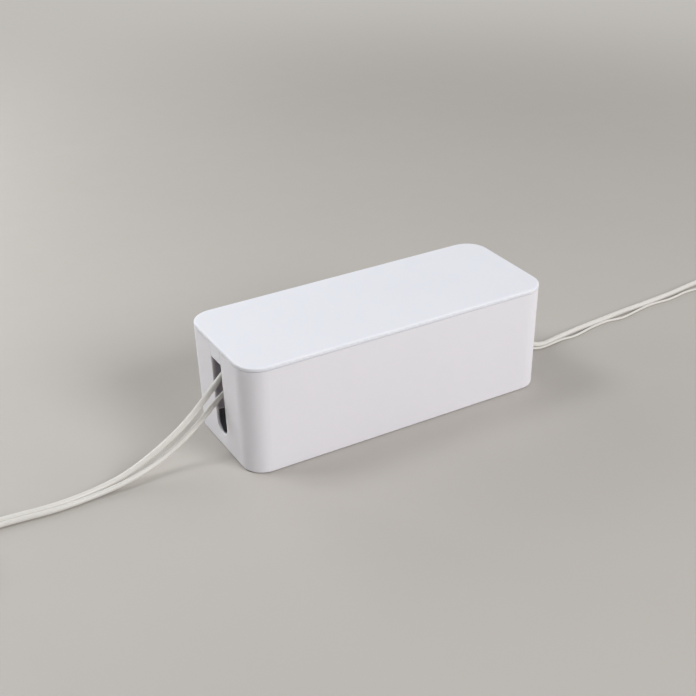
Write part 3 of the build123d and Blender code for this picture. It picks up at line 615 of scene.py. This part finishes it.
# what a plastic has unless its own look says otherwise
usualPlastic = {
    "driftScale": 9.0,
    "depth": 0.0002,  # of the grain
    "ior": 1.46,
    "glow": 0.0,  # how much light goes under the surface
    "glowRadius": (1.0, 0.93, 0.88),
    "glowDepth": 0.001,
}


def plastic(name, ownLook):
    look = {**usualPlastic, **ownLook}
    material, tree, shader, vector = newMaterial(name)
    tones = {"Tone": look["tone"], "Other Tone": look["otherTone"], "Scale": look["driftScale"]}
    drift = placeGroup(tree, toneDrift, vector, tones)
    low, high = look["roughness"]
    values = {"Grain": look["grain"], "Smoothest": low, "Roughest": high}
    grain = placeGroup(tree, mouldedGrain, vector, values)
    tree.links.new(drift.outputs["Color"], shader.inputs["Base Color"])
    tree.links.new(grain.outputs["Roughness"], shader.inputs["Roughness"])
    addBump(tree, shader, grain.outputs["Height"], look["bump"], look["depth"])
    shader.inputs["IOR"].default_value = look["ior"]
    shader.inputs["Subsurface Weight"].default_value = look["glow"]
    shader.inputs["Subsurface Radius"].default_value = look["glowRadius"]
    shader.inputs["Subsurface Scale"].default_value = look["glowDepth"]
    return material


usualMetal = {"driftScale": 60.0, "depth": 0.0001}


def metal(name, ownLook):
    look = {**usualMetal, **ownLook}
    material, tree, shader, vector = newMaterial(name)
    tones = {"Tone": look["tone"], "Other Tone": look["otherTone"], "Scale": look["driftScale"]}
    drift = placeGroup(tree, toneDrift, vector, tones)
    low, high = look["roughness"]
    values = {"Stretch": look["stretch"], "Scale": look["scale"], "Smoothest": low, "Roughest": high}
    marks = placeGroup(tree, rubMarks, vector, values)
    tree.links.new(drift.outputs["Color"], shader.inputs["Base Color"])
    tree.links.new(marks.outputs["Roughness"], shader.inputs["Roughness"])
    shader.inputs["Metallic"].default_value = 1.0
    addBump(tree, shader, marks.outputs["Height"], look["bump"], look["depth"])
    return material


def dress(material, *names):
    for name in names:
        slots = nodes[name].material_slots
        for slot in slots:
            slot.link = "OBJECT"
            slot.material = material
        if not slots:
            nodes[name].data.materials.append(material)


tubLook = {
    "tone": (0.806, 0.793, 0.826),
    "otherTone": (0.790, 0.778, 0.812),
    "roughness": (0.62, 0.72),
    "grain": 2600.0,
    "bump": 0.10,
    "driftScale": 5.0,
    "glow": 0.8,
    "glowDepth": 0.004,
}
dress(plastic("tubWhite", tubLook), "box_body")

# the lid's tone is a bluer copy of the tub's white: painted cool light falling on its top from above
lidLookWithPaintedCoolLight = {
    "tone": (0.794, 0.806, 0.852),
    "otherTone": (0.780, 0.792, 0.838),
    "roughness": (0.68, 0.78),
    "grain": 2600.0,
    "bump": 0.10,
    "driftScale": 5.0,
    "glow": 0.8,
    "glowDepth": 0.004,
}
dress(plastic("lidWhite", lidLookWithPaintedCoolLight), "lid")

footLook = {
    "tone": (0.16, 0.16, 0.165),
    "otherTone": (0.20, 0.20, 0.20),
    "roughness": (0.65, 0.85),
    "grain": 1500.0,
    "bump": 0.3,
}
dress(
    plastic("footRubber", footLook),
    "foot_front_left",
    "foot_front_right",
    "foot_rear_left",
    "foot_rear_right",
)

cordLook = {
    "tone": (0.715, 0.696, 0.655),
    "otherTone": (0.692, 0.674, 0.632),
    "roughness": (0.34, 0.46),
    "grain": 900.0,
    "bump": 0.12,
    "driftScale": 14.0,
}
cordSheath = plastic("cordSheath", cordLook)
for piece in (upperPiece, lowerPiece, supplyPiece, thinPiece):
    piece.data.materials.append(cordSheath)

plugLook = {
    "tone": (0.760, 0.750, 0.730),
    "otherTone": (0.735, 0.725, 0.705),
    "roughness": (0.30, 0.42),
    "grain": 1600.0,
    "bump": 0.10,
}
dress(
    plastic("plugWhite", plugLook),
    "upper_plug",
    "upper_plug_sleeve",
    "upper_connector",
    "upper_connector_sleeve",
    "lower_plug",
    "lower_plug_sleeve",
    "lower_connector",
    "lower_connector_sleeve",
    "wall_plug",
    "wall_plug_sleeve",
    "supply_sleeve",
    "charger",
    "charger_sleeve",
    "barrel_plug",
    "barrel_sleeve",
)

stripLook = {
    "tone": (0.760, 0.760, 0.745),
    "otherTone": (0.740, 0.740, 0.725),
    "roughness": (0.28, 0.38),
    "grain": 2000.0,
    "bump": 0.08,
}
dress(plastic("stripWhite", stripLook), "strip_base", "strip_cover", "cord_clamp")

switchLook = {
    "tone": (0.030, 0.030, 0.033),
    "otherTone": (0.042, 0.042, 0.045),
    "roughness": (0.32, 0.46),
    "grain": 1800.0,
    "bump": 0.12,
}
dress(plastic("switchBlack", switchLook), "switch_frame")

rockerLook = {
    "tone": (0.42, 0.030, 0.018),
    "otherTone": (0.36, 0.022, 0.014),
    "roughness": (0.18, 0.26),
    "grain": 1200.0,
    "bump": 0.03,
}
dress(plastic("rockerRed", rockerLook), "switch_rocker")

wireLook = {"roughness": (0.35, 0.45), "grain": 1200.0, "bump": 0.05, "driftScale": 120.0}
wireTones = {
    "line_wire": {"tone": (0.13, 0.06, 0.03), "otherTone": (0.10, 0.045, 0.02)},
    "neutral_wire": {"tone": (0.03, 0.12, 0.42), "otherTone": (0.02, 0.09, 0.34)},
    "earth_wire": {"tone": (0.20, 0.40, 0.05), "otherTone": (0.55, 0.50, 0.05)},
}
for name, tones in wireTones.items():
    dress(plastic(name, {**wireLook, **tones}), name)

nickelLook = {
    "tone": (0.72, 0.70, 0.66),
    "otherTone": (0.66, 0.64, 0.61),
    "roughness": (0.16, 0.30),
    "stretch": (1.0, 1.0, 0.15),
    "scale": 900.0,
    "bump": 0.05,
}
dress(
    metal("pinNickel", nickelLook),
    "upper_plug_contacts",
    "lower_plug_contacts",
    "wall_plug_contacts",
    "charger_pins",
    "barrel_tip",
)

brassLook = {
    "tone": (0.72, 0.53, 0.24),
    "otherTone": (0.62, 0.44, 0.19),
    "roughness": (0.26, 0.42),
    "stretch": (0.1, 1.0, 1.0),
    "scale": 700.0,
    "bump": 0.08,
}
dress(metal("contactBrass", brassLook), "line_bar", "neutral_bar", "earth_bar", "switch_terminals")

steelLook = {
    "tone": (0.56, 0.57, 0.58),
    "otherTone": (0.50, 0.51, 0.53),
    "roughness": (0.28, 0.40),
    "stretch": (1.0, 1.0, 1.0),
    "scale": 500.0,
    "bump": 0.06,
}
dress(metal("screwSteel", steelLook), "strip_screws", "clamp_screws")

tieLook = {
    "tone": (0.30, 0.30, 0.31),
    "otherTone": (0.24, 0.24, 0.25),
    "roughness": (0.80, 0.95),
    "grain": 1400.0,
    "bump": 0.8,
    "depth": 0.0004,
    "driftScale": 300.0,
}
tieCloth = plastic("tieCloth", tieLook)
for tie in (upperTie, lowerTie, supplyTie, thinTie):
    tie.data.materials.append(tieCloth)
print("materials made")


floorSetting = {
    "tone": (0.50, 0.475, 0.44),
    "otherTone": (0.485, 0.46, 0.425),
    "roughness": (0.55, 0.65),
    "grain": 600.0,
    "bump": 0.02,
    "driftScale": 2.0,
    "half": 12.0,
    "fadeFrom": 0.8,  # from here outwards it turns into the plain backdrop
    "fadeTo": 2.3,
}
backdropTone = (0.53, 0.512, 0.485)


def addSeen(tree):
    # 1 for what the camera, gloss or glass sees, 0 for what lights the object
    path = tree.nodes.new("ShaderNodeLightPath")
    seen = addMath(tree, "MAXIMUM", path.outputs["Is Camera Ray"], path.outputs["Is Glossy Ray"])
    return addMath(tree, "MAXIMUM", seen, path.outputs["Is Transmission Ray"])


def showBackdrop(tree, kind, surface, factor, output):
    plain = tree.nodes.new(kind)
    plain.inputs["Color"].default_value = (*backdropTone, 1)
    mix = tree.nodes.new("ShaderNodeMixShader")
    tree.links.new(factor, mix.inputs[0])
    tree.links.new(surface, mix.inputs[1])
    tree.links.new(plain.outputs[0], mix.inputs[2])
    tree.links.new(mix.outputs["Shader"], tree.nodes[output].inputs["Surface"])


def fadeFloor(material, setting):
    tree = material.node_tree
    place = tree.nodes.new("ShaderNodeTexCoord")
    distance = tree.nodes.new("ShaderNodeVectorMath")
    distance.operation = "LENGTH"
    tree.links.new(place.outputs["Object"], distance.inputs[0])
    fade = addRange(tree, distance.outputs["Value"], setting["fadeFrom"], setting["fadeTo"])
    fade.node.interpolation_type = "SMOOTHERSTEP"
    factor = addMath(tree, "MULTIPLY", fade, addSeen(tree))
    surface = tree.nodes["Principled BSDF"].outputs["BSDF"]
    showBackdrop(tree, "ShaderNodeEmission", surface, factor, "Material Output")


def addFloor(setting):
    half = setting["half"]
    data = bpy.data.meshes.new("floor")
    corners = [(-half, -half, 0), (half, -half, 0), (half, half, 0), (-half, half, 0)]
    data.from_pydata(corners, [], [(0, 1, 2, 3)])
    floor = bpy.data.objects.new("floor", data)
    bpy.context.scene.collection.objects.link(floor)
    material = plastic("floorPale", setting)
    data.materials.append(material)
    fadeFloor(material, setting)


addFloor(floorSetting)

worldSetting = {"color": (0.93, 0.95, 1.0), "strength": 0.20}
world = bpy.data.worlds.new("studio")
bpy.context.scene.world = world
world.use_nodes = True
studio = world.node_tree
sky = studio.nodes["Background"]
sky.inputs["Color"].default_value = (*worldSetting["color"], 1)
sky.inputs["Strength"].default_value = worldSetting["strength"]
showBackdrop(studio, "ShaderNodeBackground", sky.outputs["Background"], addSeen(studio), "World Output")

lampSettings = {
    "frontLamp": {
        "place": (1.0, -2.75, 1.95),
        "aim": (0.0, 0.0, 0.06),
        "size": 1.55,
        "power": 88.5,
        "color": (1.0, 0.985, 0.99),
    },
    "sideLamp": {
        "place": (-1.55, 1.05, 0.75),
        "aim": (-0.1, 0.0, 0.06),
        "size": 0.9,
        "power": 9.6,
        "color": (1.0, 0.99, 0.98),
    },
    "topLamp": {
        "place": (-0.80, 0.55, 1.75),
        "aim": (0.0, 0.0, 0.06),
        "size": 0.6,
        "power": 9.8,
        "color": (0.96, 0.98, 1.0),
    },
    "rearLamp": {
        "place": (-0.6, 2.1, 0.8),
        "aim": (0.0, 0.0, 0.06),
        "size": 1.2,
        "power": 16,
        "color": (0.98, 0.99, 1.0),
    },
    "rightLamp": {
        "place": (2.0, 0.2, 1.2),
        "aim": (0.1, 0.0, 0.06),
        "size": 1.0,
        "power": 4.5,
        "color": (1.0, 0.99, 0.99),
    },
}
for name, lamp in lampSettings.items():
    light = bpy.data.lights.new(name, "AREA")
    light.size = lamp["size"]
    light.energy = lamp["power"]
    light.color = lamp["color"]
    holder = bpy.data.objects.new(name, light)
    place = Vector(lamp["place"])
    aim = (Vector(lamp["aim"]) - place).to_track_quat("-Z", "Y").to_matrix().to_4x4()
    holder.matrix_world = Matrix.Translation(place) @ aim
    bpy.context.scene.collection.objects.link(holder)
print("floor and lamps placed")
